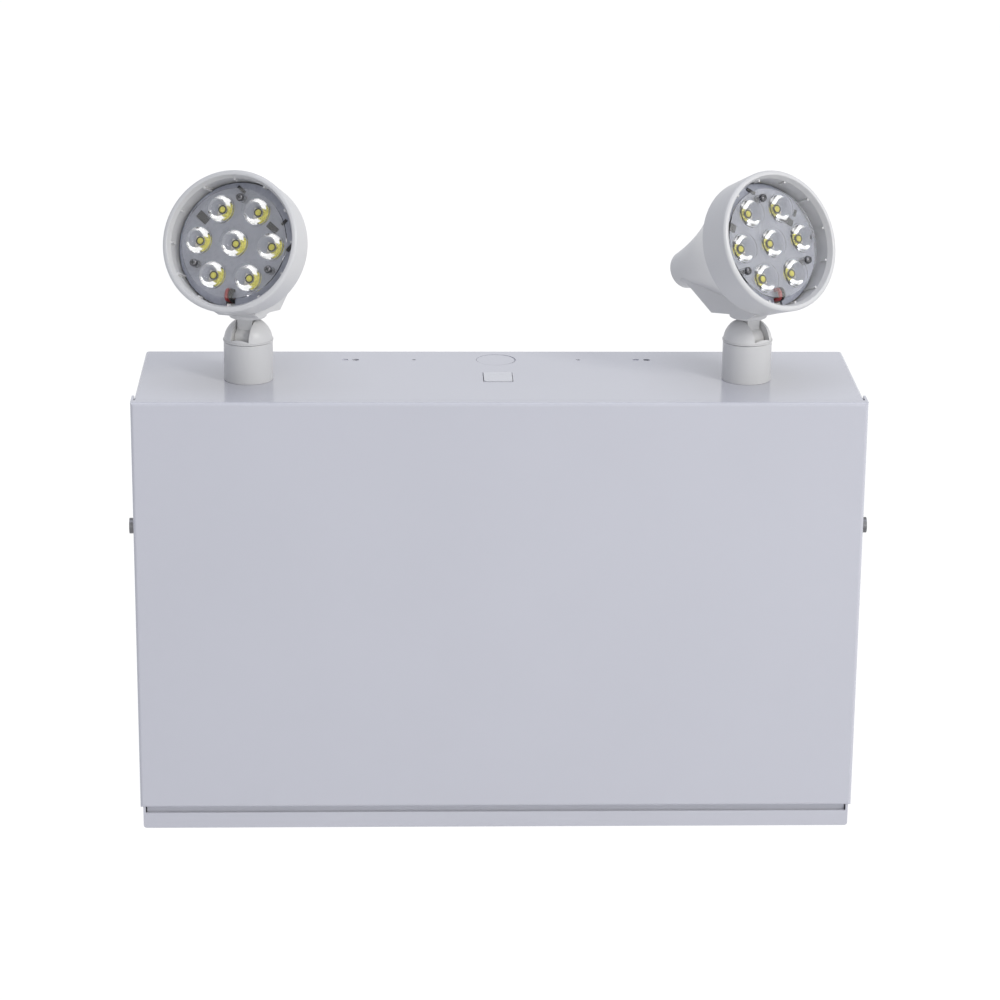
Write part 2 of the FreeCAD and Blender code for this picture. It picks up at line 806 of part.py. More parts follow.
def make_swivel(side, way):
    """The domed swivel that turns in the post and carries the tilt pin; its own origin is the pivot."""
    pivot = (post_x * way, post_y, top + s.pivot_high)
    frame = "placement(vector(%s; %s; %s); rotationz(Sheet.%s_pan))" % (*[p.text for p in pivot], side)
    post_top = s.post_high - s.pivot_high
    flange = post_top + s.turn_gap
    ledge = flange + s.ledge_high
    tail_end = -s.pivot_high - s.post_tail
    clip_top = tail_end - s.turn_gap
    clip_low = clip_top - s.clip_thick
    stem_end = clip_low - s.stem_past
    groove = s.stem_rad - s.groove_deep
    name = side + "_dome"
    body = new_body(name)
    sk = sketch(body, name + "_profile", "XZ_Plane")
    outline(sk, ((0, stem_end), (s.stem_rad, stem_end),
                 (s.stem_rad, clip_low - s.run_gap), (groove, clip_low - s.run_gap),
                 (groove, clip_top + s.run_gap), (s.stem_rad, clip_top + s.run_gap), (s.stem_rad, seat_end),
                 (seat_rad, seat_end), (seat_rad, flange), (ledge_rad, flange), (ledge_rad, ledge),
                 (dome_rad, ledge), (0, dome_rad)), {11: ("y", -1)})
    revolve(body, sk, "V_Axis")
    sk = sketch(body, name + "_slot", "YZ_Plane")
    round_rad = s.hub_rad + s.turn_gap
    high = s.slot_mouth_high
    away = dome_rad * dome_rad + high * high
    along = root(away - round_rad * round_rad)
    slope_rise = (high * along + dome_rad * round_rad) / away
    slope_run = (dome_rad * along - high * round_rad) / away
    floor_y = round_rad * slope_rise
    floor_z = -round_rad * slope_run
    mouth_y = s.post_rad + 1
    mouth_z = floor_z + (mouth_y - floor_y) * slope_rise / slope_run
    outline(sk, ((-mouth_y, dome_rad + 1), (-mouth_y, mouth_z), (-floor_y, floor_z), (floor_y, floor_z),
                 (mouth_y, mouth_z), (mouth_y, dome_rad + 1)), {2: (round_rad, -1)})
    pocket(body, sk, s.knuckle_slot, middle=True)
    sk = sketch(body, name + "_pin_hole", "YZ_Plane", (s.post_rad + 1) * way)
    circle(sk, 0, 0, s.tilt_pin_rad + s.pin_gap)
    pocket(body, sk, s.post_rad + 1 + pin_half + 0.1, back=way < 0)
    sk = sketch(body, name + "_wire_bore", "XY_Plane", stem_end)
    circle(sk, 0, 0, s.wire_bore)
    pocket(body, sk, -stem_end, back=True)
    body.setExpression("Placement", frame)
    keep(name, body)

    name = side + "_clip"
    blank = rod(name + "_blank", "Z", (0, 0, clip_low), s.clip_rad, s.clip_thick)
    bore = rod(name + "_bore", "Z", (0, 0, clip_low - 1), groove + s.run_gap, s.clip_thick + 2)
    mouth = box(name + "_mouth", (0, s.clip_rad + 1), (-s.clip_mouth_half, s.clip_mouth_half),
                (clip_low - 1, clip_top + 1))
    ring = cut(name, cut(name + "_disc", blank, bore), mouth)
    ring.setExpression("Placement", frame)
    keep(name, ring)

    name = side + "_tilt_pin"
    pin = group(name, [rod(name + "_rod", "X", (-pin_half, 0, 0), s.tilt_pin_rad, pin_half * 2)])
    pin.setExpression("Placement", frame)
    keep(name, pin)


def from_pin(y, z):
    """A point level with the tilt pin's own frame, back and up from it, in the lamp's frame."""
    y, z = size(y), size(z)
    lean, rise = sine(s.lamp_lift), cosine(s.lamp_lift)
    return y * rise - z * lean + s.lamp_reach, y * lean + z * rise - lamp_rise


def make_head(side, way):
    """The lamp head: an arm on the tilt pin, the bell with its ring, and the lit board in its mouth."""
    pivot = (post_x * way, post_y, top + s.pivot_high)
    pin_frame = "placement(vector(%s; %s; %s); rotationz(Sheet.%s_pan))" % (*[p.text for p in pivot], side)
    lamp_frame = (pin_frame + " * placement(vector(0; 0; 0); rotationx(-Sheet.lamp_lift))"
                  " * placement(vector(0; -Sheet.lamp_reach; %s); rotationx(0))" % lamp_rise.text)

    def pose(node, obj, frame=lamp_frame):
        obj.setExpression("Placement", frame)
        keep(node, obj)

    arm_end = s.nut_seat_high + s.arm_nut_high + s.arm_past
    pose(side + "_arm", make_arm(side, arm_end), pin_frame)
    name = side + "_arm_nut"
    blank = hexagon(name + "_blank", (0, 0, s.nut_seat_high), s.arm_nut_rad, s.arm_nut_high)
    bore = rod(name + "_bore", "Z", (0, 0, s.nut_seat_high - 1), s.arm_tail_rad + s.run_gap,
               s.arm_nut_high + 2)
    pose(name, cut(name, blank, bore), pin_frame)

    pose(side + "_lamp_bell", make_bell(side))
    pose(side + "_lamp_ring", make_ring(side))
    pose(side + "_led_board", make_board(side))
    pose(side + "_lenses", make_lenses(side))

    half = s.led_side / 2
    spots = [(size(0), size(0))] + around(6, 0, led_pitch)
    chips = [box("%s_led%d" % (side, n), (x - half, x + half), (s.board_front - s.led_high, s.board_front),
                 (z - half, z + half)) for n, (x, z) in enumerate(spots)]
    pose(side + "_leds", group(side + "_leds", chips))

    name = side + "_lamp_screws"
    seat = s.lens_front + s.lens_web_back
    heads = [(x, seat, z) for x, z in around(3, 90, lamp_screw_ring)]
    shank = s.board_front + s.board_thick - seat + s.lamp_screw_bite
    pose(name, screws(name, "Y", heads, s.lamp_head_rad, s.lamp_head_high, s.lamp_screw_rad, shank))

    for colour, sign in (("red", -1), ("black", 1)):
        name = "%s_lamp_lead_%s" % (side, colour)
        pose(name, make_lamp_lead(name, s.lead_half * sign, arm_end))


def make_lamp_lead(name, x, arm_end):
    """One lead: up off the board, over its edge, behind it and down into the hollow arm."""
    pad_z = -board_rad + s.lead_pad_in
    edge_z = -board_rad + s.lead_edge_in
    behind = s.board_front + s.board_thick + s.lead_behind
    over = from_pin(0, arm_end + s.lead_over)
    return tube(name, s.lead_rad, s.lead_bend, (
        (x, s.board_front, pad_z), (x, s.lead_front, pad_z), (x, s.lead_front, edge_z), (x, behind, edge_z),
        (x, behind, over[1]), (x, *over), (x, *from_pin(0, s.collar_high + 1.5))))


def make_arm(side, arm_end):
    """The arm: a hub on the pin, a tongue, the collar that seats under the lamp, and a hollow tail."""
    name = side + "_arm"
    collar_low = s.collar_high - s.collar_thick
    body = new_body(name)
    sk = sketch(body, name + "_hub", "YZ_Plane")
    circle(sk, 0, 0, s.hub_rad)
    pad(body, sk, s.knuckle_slot - s.turn_gap * 2, middle=True)
    sk = sketch(body, name + "_tongue", "YZ_Plane")
    rectangle(sk, -s.tongue_half, s.tongue_half, 0, collar_low + 0.3)
    pad(body, sk, s.tongue_thick, middle=True)
    sk = sketch(body, name + "_collar", "XY_Plane", collar_low)
    circle(sk, 0, 0, s.collar_rad)
    pad(body, sk, s.collar_thick)
    low = collar_low.value
    round_edges(body, s.collar_round,
                lambda edge: flat_edge(edge, "z", low) and wide_edge(edge, s.collar_rad))
    sk = sketch(body, name + "_tail", "XY_Plane", s.collar_high - 0.3)
    circle(sk, 0, 0, s.arm_tail_rad)
    pad(body, sk, arm_end - s.collar_high + 0.3)
    sk = sketch(body, name + "_pin_hole", "YZ_Plane")
    circle(sk, 0, 0, s.tilt_pin_rad + s.run_gap)
    pocket(body, sk, s.knuckle_slot + 2, middle=True)
    sk = sketch(body, name + "_bore", "XY_Plane", arm_end)
    circle(sk, 0, 0, s.lead_half + s.lead_rad + s.lead_room)
    pocket(body, sk, arm_end - s.collar_high)
    return body


def arm_sketch(body, name, height):
    """A sketch square to the arm, at a height above the tilt pin."""
    y, z = from_pin(0, height)
    sk = sketch(body, name, "XY_Plane", z)
    sk.AttachmentOffset = FreeCAD.Placement(sk.AttachmentOffset.Base, FreeCAD.Rotation(Vec(1, 0, 0), 1))
    bind(sk, "AttachmentOffset.Base.y", y)
    bind(sk, "AttachmentOffset.Rotation.Angle", s.lamp_lift)
    return sk


def make_bell(side):
    """The bell: an outside turned about the lamp axis, a wedge boss below it, then the hollow."""
    name = side + "_lamp_bell"
    body = new_body(name)
    rear = s.board_front + s.board_thick
    spigot = s.mouth_rad - s.spigot_gap
    sk = sketch(body, name + "_outside", "YZ_Plane")
    outline(sk, ((rear, 0), (rear, spigot), (s.band_long, spigot), (s.band_long, shoulder_rad),
                 (s.bell_long, s.nub_rad), (s.nub_end, 0)),
            {3: (s.flare_rad, -1), 4: ("x", 1)})
    revolve(body, sk, "H_Axis")
    sk = sketch(body, name + "_boss", "YZ_Plane")
    toe = s.band_long + s.boss_toe_gap
    boss_top = -s.nub_rad + s.boss_in
    outline(sk, (from_pin(s.boss_heel_back, s.boss_heel_high), from_pin(s.boss_tail_back, s.boss_tail_high),
                 (s.bell_long - s.boss_end, boss_top), (toe, boss_top), (toe, -shoulder_rad),
                 from_pin(-s.boss_toe_front, s.collar_high), from_pin(s.boss_flat_back, s.collar_high)))
    pad(body, sk, s.boss_half * 2, middle=True)
    sk = sketch(body, name + "_hollow", "YZ_Plane")
    inner = spigot - s.spigot_wall
    outline(sk, ((rear - 1, 0), (rear - 1, inner), (s.band_long + 1, inner),
                 (s.bell_long - 2, s.nub_rad - s.bell_wall), (s.nub_end - s.bell_wall - 1, 0)))
    revolve(body, sk, "H_Axis", "Groove")
    sk = sketch(body, name + "_column", "XZ_Plane", -rear)
    circle(sk, 0, lamp_screw_ring, s.column_rad)
    column = pad(body, sk, s.band_long - rear + s.column_past, back=True)
    ring_of(body, column, "Y_Axis", 3)
    sk = sketch(body, name + "_column_hole", "XZ_Plane", -rear)
    circle(sk, 0, lamp_screw_ring, s.lamp_screw_rad + s.thread_gap)
    hole = pocket(body, sk, s.lamp_screw_bite + s.hole_past)
    ring_of(body, hole, "Y_Axis", 3)
    sk = arm_sketch(body, name + "_nut_seat", s.nut_seat_high)
    circle(sk, 0, 0, s.arm_nut_rad + s.nut_room)
    pocket(body, sk, s.arm_nut_high + 3, back=True)
    sk = arm_sketch(body, name + "_arm_hole", s.nut_seat_high + 0.1)
    circle(sk, 0, 0, s.arm_tail_rad + s.arm_hole_gap)
    pocket(body, sk, s.nut_seat_high - s.collar_high + 4)
    sk = arm_sketch(body, name + "_collar_seat", s.collar_high)
    circle(sk, 0, 0, s.collar_rad + s.collar_gap)
    pocket(body, sk, s.collar_thick + 2)
    return body


def make_ring(side):
    """The front ring that fits over the bell's spigot, with small ribs inside its mouth."""
    name = side + "_lamp_ring"
    body = new_body(name)
    sk = sketch(body, name + "_profile", "YZ_Plane")
    outline(sk, ((-s.lip_out, lip_rad), (-s.lip_out, rim_rad), (s.band_long, band_rad),
                 (s.band_long, s.mouth_rad), (s.lip_deep, s.mouth_rad)))
    revolve(body, sk, "H_Axis")
    front = -s.lip_out.value
    round_edges(body, s.rim_round, lambda edge: flat_edge(edge, "y", front) and wide_edge(edge, rim_rad))
    round_edges(body, s.lip_round, lambda edge: flat_edge(edge, "y", front) and not wide_edge(edge, rim_rad))
    long_end = s.board_front - s.rib_gap
    for kind, end, half, turn, count in (("long", long_end, s.long_rib_half, 30, 4),
                                         ("short", s.short_rib_end, s.short_rib_half, 0, 12)):
        sk = sketch(body, "%s_rib_%s" % (name, kind), "XZ_Plane", -end)
        bind(sk, "AttachmentOffset.Rotation.Angle", s.rib_turn + turn)
        rectangle(sk, -half, half, s.mouth_rad - s.rib_deep, s.mouth_rad + s.rib_root)
        rib = pad(body, sk, end - s.rib_start)
        ring_of(body, rib, "Y_Axis", count)
    return body


def make_board(side):
    name = side + "_led_board"
    body = new_body(name)
    sk = sketch(body, name + "_disc", "XZ_Plane", -s.board_front - s.board_thick)
    circle(sk, 0, 0, board_rad)
    pad(body, sk, s.board_thick)
    sk = sketch(body, name + "_hole", "XZ_Plane", -s.board_front)
    circle(sk, 0, lamp_screw_ring, s.lamp_screw_rad + s.screw_gap)
    hole = pocket(body, sk)
    ring_of(body, hole, "Y_Axis", 3)
    sk = sketch(body, name + "_notch", "XZ_Plane", -s.board_front)
    notch_half = s.lead_half + s.lead_rad + s.notch_gap
    rectangle(sk, -notch_half, notch_half, -board_rad - 1, -board_rad + s.notch_deep)
    pocket(body, sk)
    return body


def make_lenses(side):
    """The clear lens moulding: seven collimators, one over each chip, in a web held up on three pillars."""
    name = side + "_lenses"
    body = new_body(name)
    web = s.lens_front + s.lens_web_back
    sk = sketch(body, name + "_web", "XZ_Plane", -web - s.lens_web_thick)
    circle(sk, 0, 0, lens_web_rad)
    pad(body, sk, s.lens_web_thick)
    well_top = s.board_front - s.led_high - s.lens_air
    edge_back = s.lens_front + s.lens_edge_high
    for kind, at in (("mid", size(0)), ("outer", led_pitch)):
        sk = sketch(body, "%s_%s" % (name, kind), "XY_Plane")
        outline(sk, ((at, s.lens_front), (at + s.lens_rad, s.lens_front), (at + s.lens_rad, edge_back),
                     (at + s.lens_foot, s.board_front), (at + s.lens_well, s.board_front),
                     (at + s.lens_well, well_top), (at, well_top)))
        lens = revolve(body, sk, "Edge7")
    ring_of(body, lens, "Y_Axis", 6)
    sk = sketch(body, name + "_pillar", "XZ_Plane", -s.board_front)
    circle(sk, 0, lamp_screw_ring, s.lens_pillar_rad)
    pillar = pad(body, sk, s.board_front - web - 0.2)
    ring_of(body, pillar, "Y_Axis", 3)
    sk = sketch(body, name + "_pillar_hole", "XZ_Plane", -web + 1)
    circle(sk, 0, lamp_screw_ring, s.lamp_screw_rad + s.screw_gap)
    hole = pocket(body, sk)
    ring_of(body, hole, "Y_Axis", 3)
    return body


def make_battery():
    """The sealed battery, its tabs, and the strap that holds it to the back."""
    x0 = -half_inner + s.battery_left
    x1 = x0 + s.battery_wide
    y1 = back_inner
    y0 = y1 - s.battery_deep
    z0 = above_floor
    z1 = z0 + s.battery_high
    keep("battery", box("battery", (x0, x1), (y0, y1), (z0, z1)))
    tabs = []
    tab_y = (y0 + s.tab_back, y0 + s.tab_back + s.tab_thick)
    for n, x in enumerate((x0 + s.tab_in, x1 - s.tab_in)):
        tabs.append(box("tab%d" % n, (x - s.tab_half, x + s.tab_half), tab_y, (z1, z1 + s.tab_high)))
    keep("battery_terminals", group("battery_terminals", tabs))
    strap_low = z0 + s.battery_high * 0.45
    strap_z = (strap_low, strap_low + s.strap_wide)
    t = s.sheet_thick
    strap = [box("strap_front", (x0 - t, x1 + t), (y0 - t, y0), strap_z)]
    feet = []
    for n, (leg, foot) in enumerate((((x0 - t, x0), (x0 - 11, x0)), ((x1, x1 + t), (x1, x1 + 14)))):
        strap.append(box("strap_leg%d" % n, leg, (y0 - t, y1), strap_z))
        plate = box("strap_foot%d" % n, foot, (y1 - t, y1), strap_z)
        x = foot[0] + 5 if n == 0 else foot[1] - 6
        z = (strap_z[0] + strap_z[1]) / 2
        hole = rod("strap_hole%d" % n, "Y", (x, y1 - t - 1, z), s.foot_screw_rad + s.foot_hole_gap, t + 2)
        strap.append(cut("strap_drilled%d" % n, plate, hole))
        feet.append((x, y1 - t, z))
    keep("battery_bracket", fuse("battery_bracket", strap))
    keep("bracket_screws", screws("bracket_screws", "Y", feet, s.foot_head_rad, s.foot_head_high,
                                  s.foot_screw_rad, t))
    return x0, x1, y0, z1


def make_charger():
    """The charger board on its pillars with the parts it carries, and the transformer above it."""
    x1 = half_inner - s.charger_right
    x0 = x1 - s.charger_wide
    z0 = above_floor + s.charger_drop
    z1 = z0 + s.charger_high
    y1 = back_inner - s.standoff_long
    y0 = y1 - s.charger_thick
    blank = box("charger_blank", (x0, x1), (y0, y1), (z0, z1))
    inset = s.standoff_in
    corners = [(x, z) for x in (x0 + inset, x1 - inset) for z in (z0 + inset, z1 - inset)]
    holes = [rod("charger_hole%d" % n, "Y", (x, y0 - 1, z), s.board_screw_rad + s.screw_gap, 4.0)
             for n, (x, z) in enumerate(corners)]
    keep("charger_board", cut("charger_board", blank, fuse("charger_holes", holes)))
    pillars = []
    for n, (x, z) in enumerate(corners):
        pillar = rod("pillar%d" % n, "Y", (x, y1, z), s.standoff_rad, s.standoff_long)
        thread = rod("pillar_bore%d" % n, "Y", (x, y1 - 1, z), s.board_screw_rad + s.run_gap, 8.0)
        pillars.append(cut("pillar_drilled%d" % n, pillar, thread))
    keep("board_standoffs", group("board_standoffs", pillars))
    heads = [(x, y0, z) for x, z in corners]
    keep("board_screws", screws("board_screws", "Y", heads, s.board_head_rad, s.board_head_high,
                                s.board_screw_rad, s.board_screw_long))

    keep("relay", box("relay", (x0 + 20, x0 + 39), (y0 - 15.5, y0), (z0 + 52, z0 + 67)))
    cans = [rod("can%d" % n, "Y", (x0 + at, y0 - tall, z0 + up), wide, tall)
            for n, (at, up, wide, tall) in enumerate(CAPACITORS)]
    keep("capacitors", group("capacitors", cans))
    sink_x, sink_z = x0 + 50, (z0 + 12, z0 + 40)
    fins = [box("sink_base", (sink_x, sink_x + 50), (y0 - 4, y0), sink_z)]
    fins += [box("sink_fin%d" % n, (sink_x + 8 * n, sink_x + 8 * n + 2), (y0 - 22, y0 - 3.9), sink_z)
             for n in range(7)]
    keep("heat_sink", fuse("heat_sink", fins))
    clips = [box("fuse_clip%d" % n, (x0 + at, x0 + at + 5), (y0 - 8, y0), (z0 + 22, z0 + 30))
             for n, at in enumerate((14, 33))]
    seat = rod("fuse_seat", "X", (x0 + 13, y0 - 6, z0 + 26), s.fuse_rad + s.pin_gap, 26.0)
    keep("fuse_holder", cut("fuse_holder", group("fuse_clips", clips), seat))
    keep("fuse", group("fuse", [rod("fuse_rod", "X", (x0 + 16, y0 - 6, z0 + 26), s.fuse_rad, 20.0)]))
    block = box("block_body", (x1 - 38, x1 - 12), (y0 - 12, y0), (z0 + 70, z0 + 80))
    port_x = x1 - s.port_in
    ports = [rod("block_port%d" % n, "Z", (port_x + s.port_pitch * n, y0 - 6, z0 + 74), s.port_rad, 8.0)
             for n in range(4)]
    keep("terminal_block", cut("terminal_block", block, fuse("block_ports", ports)))

    cx = (x0 + x1) / 2
    cz = z1 + s.core_up
    foot = s.frame_thick
    left, right = cx - s.core_wide / 2, cx + s.core_wide / 2
    low, high = cz - s.core_high / 2, cz + s.core_high / 2
    strip = (cz - s.frame_half, cz + s.frame_half)
    plate = box("frame_foot", (left - s.frame_out, right + s.frame_out), (back_inner - foot, back_inner),
                strip)
    ears = [(x, back_inner - foot, cz) for x in (left - s.ear_out, right + s.ear_out)]
    drilled = [rod("frame_hole%d" % n, "Y", (x, y - 1, z), s.foot_screw_rad + s.foot_hole_gap, foot + 2)
               for n, (x, y, z) in enumerate(ears)]
    keep("transformer_frame", cut("transformer_frame", plate, fuse("frame_holes", drilled)))
    keep("transformer_screws", screws("transformer_screws", "Y", ears, s.foot_head_rad, s.foot_head_high,
                                      s.foot_screw_rad, foot))
    frame_front = back_inner - foot
    core_back = frame_front - s.coil_out
    core_front = core_back - s.core_deep
    core = box("core_block", (left, right), (core_front, core_back), (low, high))
    feet = [box("core_foot%d" % n, (x, x + s.core_foot), (core_back - 0.1, frame_front), strip)
            for n, x in enumerate((left, right - s.core_foot))]
    limb = s.core_wide / 6
    windows = [box("core_window%d" % n, (cx + limb * at, cx + limb * (at + 1)),
                   (core_front - 1, core_back + 1), (low + limb, high - limb))
               for n, at in enumerate((-2, 1))]
    whole = fuse("core_whole", [core] + feet)
    keep("transformer_core", cut("transformer_core", whole, fuse("core_windows", windows)))
    coil = box("coil_block", (cx - limb * 1.9, cx + limb * 1.9),
               (core_front - s.coil_out + 1, frame_front - 1),
               (low + limb + s.coil_gap, high - limb - s.coil_gap))
    middle = box("coil_core", (cx - limb, cx + limb), (core_front, core_back), (low, high))
    keep("transformer_coil", cut("transformer_coil", coil, middle))
    return port_x, y0 - 6, z0 + 80


def make_battery_leads(battery, block):
    """The two leads from the battery tabs, along the back of the case, down into the terminal block."""
    x0, x1, y0, z1 = battery
    port_x, port_y, port_z = block
    tab_y = y0 + s.tab_back + s.tab_thick / 2
    for n, (colour, tab_x) in enumerate((("red", x0 + s.tab_in), ("black", x1 - s.tab_in))):
        name = "battery_lead_" + colour
        rise = z1 + 12 + 6 * n
        lead = tube(name, s.battery_lead_rad, s.battery_lead_bend, (
            (tab_x, tab_y, z1 + s.tab_high), (tab_x, tab_y, rise), (tab_x, port_y, rise),
            (port_x + s.port_pitch * n, port_y, rise), (port_x + s.port_pitch * n, port_y, port_z - 5)))
        keep(name, lead)


make_tray()
make_cover()
make_cover_fixings()
make_switch()
for side, way in (("left", -1), ("right", 1)):
    make_post(side, way)
    make_swivel(side, way)
    make_head(side, way)
battery = make_battery()
block = make_charger()
make_battery_leads(battery, block)
doc.recompute()

os.makedirs("parts", exist_ok=True)
for item in doc.Objects:
    if "Invalid" in item.State or "Error" in item.State:
        raise ValueError(item.Name + " did not build")
for node, obj in sorted(nodes.items()):
    if not obj.Shape.isValid() or not obj.Shape.Solids:
        raise ValueError(node + " is not a valid solid")
    obj.Shape.exportStep(os.path.join("parts", node + ".step"))
    print(node, len(obj.Shape.Solids), round(obj.Shape.Volume / 1000, 2))
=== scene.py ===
import json
import math

import bmesh
import bpy
from mathutils import Matrix, Vector


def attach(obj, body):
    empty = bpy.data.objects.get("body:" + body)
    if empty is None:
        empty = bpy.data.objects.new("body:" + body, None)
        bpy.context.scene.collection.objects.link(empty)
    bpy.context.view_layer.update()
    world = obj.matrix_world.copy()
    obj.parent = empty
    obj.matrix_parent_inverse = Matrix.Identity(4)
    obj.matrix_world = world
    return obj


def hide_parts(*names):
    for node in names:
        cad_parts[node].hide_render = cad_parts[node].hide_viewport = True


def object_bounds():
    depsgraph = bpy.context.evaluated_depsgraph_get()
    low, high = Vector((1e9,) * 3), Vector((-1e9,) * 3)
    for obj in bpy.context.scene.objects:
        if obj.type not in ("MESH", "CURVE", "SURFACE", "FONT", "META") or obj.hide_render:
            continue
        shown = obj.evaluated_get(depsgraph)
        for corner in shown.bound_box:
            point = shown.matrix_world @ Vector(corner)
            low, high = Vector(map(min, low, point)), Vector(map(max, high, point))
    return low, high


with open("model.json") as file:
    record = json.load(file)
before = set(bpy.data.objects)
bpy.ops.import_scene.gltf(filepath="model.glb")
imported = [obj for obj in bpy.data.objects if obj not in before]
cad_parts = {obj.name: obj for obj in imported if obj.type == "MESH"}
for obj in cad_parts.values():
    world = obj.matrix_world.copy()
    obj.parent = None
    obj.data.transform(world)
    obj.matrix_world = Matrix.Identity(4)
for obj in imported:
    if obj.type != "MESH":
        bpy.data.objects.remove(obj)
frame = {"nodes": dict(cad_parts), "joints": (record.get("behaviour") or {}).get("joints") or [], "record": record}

cad_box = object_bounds()
nodes = frame["nodes"]
joints = {joint["name"]: joint for joint in frame["joints"]}
scene = bpy.context.scene

MM = 0.001
SIDES = ("left", "right")

# Camera, fitted to the photograph: place in the part's frame, and turns in degrees.
IMAGE_SIDE = 1000.0
FOCAL_PIXELS = 3376.0
CENTRE_PIXEL = (500.9, 514.2)
CAMERA_PLACE = Vector((-54.2, -1671.6, 574.8)) * MM
CAMERA_PITCH = math.radians(18.23)
CAMERA_YAW = math.radians(1.99)
CAMERA_ROLL = math.radians(-0.56)
SENSOR = 36.0

# The lamp's frame on its tilt pin, as the part has it.
LAMP_LIFT = math.radians(22.35)
LAMP_REACH = 40.5 * MM
LAMP_RISE = 42.9 * MM

# Sizes inside the lamp, in millimetres; depths run back from the rim plane.
BOARD_FRONT = 11.0
LED_PITCH = 18.8
LED_HALF = 2.2
LED_BASE_FRONT = BOARD_FRONT - 0.9
LED_EDGE = 0.2
CUP_OUT = 2.15
CUP_TOP = 1.9
CUP_LIP = 1.66
CUP_FOOT = 1.62
CUP_HIGH = 0.42
CUP_SIDE = 0.35
PHOSPHOR_RAD = 1.58
PHOSPHOR_HIGH = 1.25
LENS_FRONT = 3.9
LENS_RAD = 7.5
LENS_BREAK = 0.15
WEB_FRONT = 4.7
WEB_BACK = 5.9
WEB_RAD = 27.2
PILLAR_RAD = 2.0
CHIP = 9.6
FOOT = 10.05
FOOT_RAD = 2.3
SLANT_LOW = math.radians(17)
SLANT_HIGH = math.radians(10)
SLANT_RAD = 5.0
SIDE_STEPS = 24
SCREW_RING = 22.6
SCREW_HOLE = 1.35
SCREW_RAD = 1.2
HEAD_PROFILE = ((0.0, -1.28), (0.7, -1.26), (1.3, -1.1), (1.7, -0.75), (1.88, -0.3), (1.88, 0.0))
# The screws' cross recess is not cut: a thin black cross set flush into the head paints the recess's shade.
SHADE_CROSS_HALF = 1.15
SHADE_CROSS_WIDE = 0.27
SHADE_CROSS_FRONT = 1.29
SHADE_CROSS_BACK = 1.0
SHADE_CROSS_EDGE = 0.05
SHADE_CROSS_TURN = 0.5
PART_HIGH = 0.7
PART_EDGE = 0.15
PART_TURN = math.radians(35)
# Components on the board: angle in degrees, distance out, length and width.
BOARD_PARTS = ((149, 23.2, 6.4, 4.0), (30, 19.6, 6.2, 3.2), (30, 26.0, 1.4, 3.4), (94, 27.4, 5.0, 1.5),
               (2, 27.2, 1.8, 4.4))
TAIL_END = 75.6
TAIL_RAD = 9.47
TAIL_DOME = 3.3
TAIL_WALL = 2.4
TAIL_CROWN = 1.5
SKIRT_TOP = 0.2
SKIRT_DEEP = 3.0
SKIRT_GAP_TOP = 0.25
SKIRT_GAP_END = 0.9
SMOOTH_ANGLE = math.radians(32)

# The stage: colours as red, green and blue, lights in watts and metres.
FILL = 0.45
FILL_TINT = (0.94, 0.98, 1.11)
FLOOR_COLOUR = (0.90, 0.90, 0.91)
FLOOR_GLOW = 1.08
FLOOR_SHADOW = 0.08
FLOOR_HALF = 30.0
LIGHT_AIM = (0.0, -0.05, 0.0)
WHITE = (1.0, 1.0, 1.0)
# Each light: name, place, size, power and colour.
LIGHTS = (
    ("key", (1.5, -1.6, 1.5), (0.5, 0.5), 20.0, (1.0, 0.988, 0.955)),
    ("top", (0.0, -0.2, 1.8), (1.6, 1.0), 6.9, (0.95, 0.985, 1.13)),
    ("front", (0.5, -2.3, 0.35), (1.6, 0.8), 6.0, WHITE),
    ("right", (2.0, -0.6, 0.6), (1.2, 1.2), 5.0, WHITE),
)


# Materials: each is a small graph of nodes round one shader.

class Shader:
    """A material with helpers for adding and joining its nodes."""

    def __init__(self, name, colour, roughness, **sockets):
        self.material = bpy.data.materials.new(name)
        self.material.use_nodes = True
        self.tree = self.material.node_tree
        self.bsdf = self.tree.nodes["Principled BSDF"]
        self.set("Base Color", (*colour, 1.0))
        self.set("Roughness", roughness)
        for socket, value in sockets.items():
            self.set(socket.replace("_", " "), value)
        self.place = self.add("ShaderNodeTexCoord").outputs["Object"]

    def set(self, socket, value):
        self.bsdf.inputs[socket].default_value = value

    def add(self, kind, inputs=None, **settings):
        node = self.tree.nodes.new(kind)
        for key, value in settings.items():
            setattr(node, key, value)
        for key, value in (inputs or {}).items():
            if isinstance(value, bpy.types.NodeSocket):
                self.tree.links.new(value, node.inputs[key])
            else:
                node.inputs[key].default_value = value
        return node

    def link(self, output, socket):
        self.tree.links.new(output, self.bsdf.inputs[socket])

    def noise(self, scale, detail=2.0, roughness=0.5):
        inputs = {"Vector": self.place, "Scale": scale, "Detail": detail, "Roughness": roughness}
        return self.add("ShaderNodeTexNoise", inputs).outputs["Fac"]

    def spread(self, value, low, high, from_low=0.3, from_high=0.7):
        """The value stretched from one range to another."""
        inputs = {"Value": value, "From Min": from_low, "From Max": from_high, "To Min": low, "To Max": high}
        return self.add("ShaderNodeMapRange", inputs).outputs["Result"]

    def ramp(self, value, stops):
        """A colour for each value, from (position, colour) stops."""
        node = self.add("ShaderNodeValToRGB", {"Fac": value})
        points = node.color_ramp.elements
        while len(points) < len(stops):
            points.new(0.5)
        for point, (position, colour) in zip(points, stops):
            point.position = position
            point.color = (*colour, 1.0)
        return node.outputs["Color"]

    def bump(self, height, strength, distance):
        node = self.add("ShaderNodeBump", {"Height": height, "Strength": strength, "Distance": distance})
        self.link(node.outputs["Normal"], "Normal")


def shade(colour, amount):
    return tuple(min(1.0, channel * amount) for channel in colour)


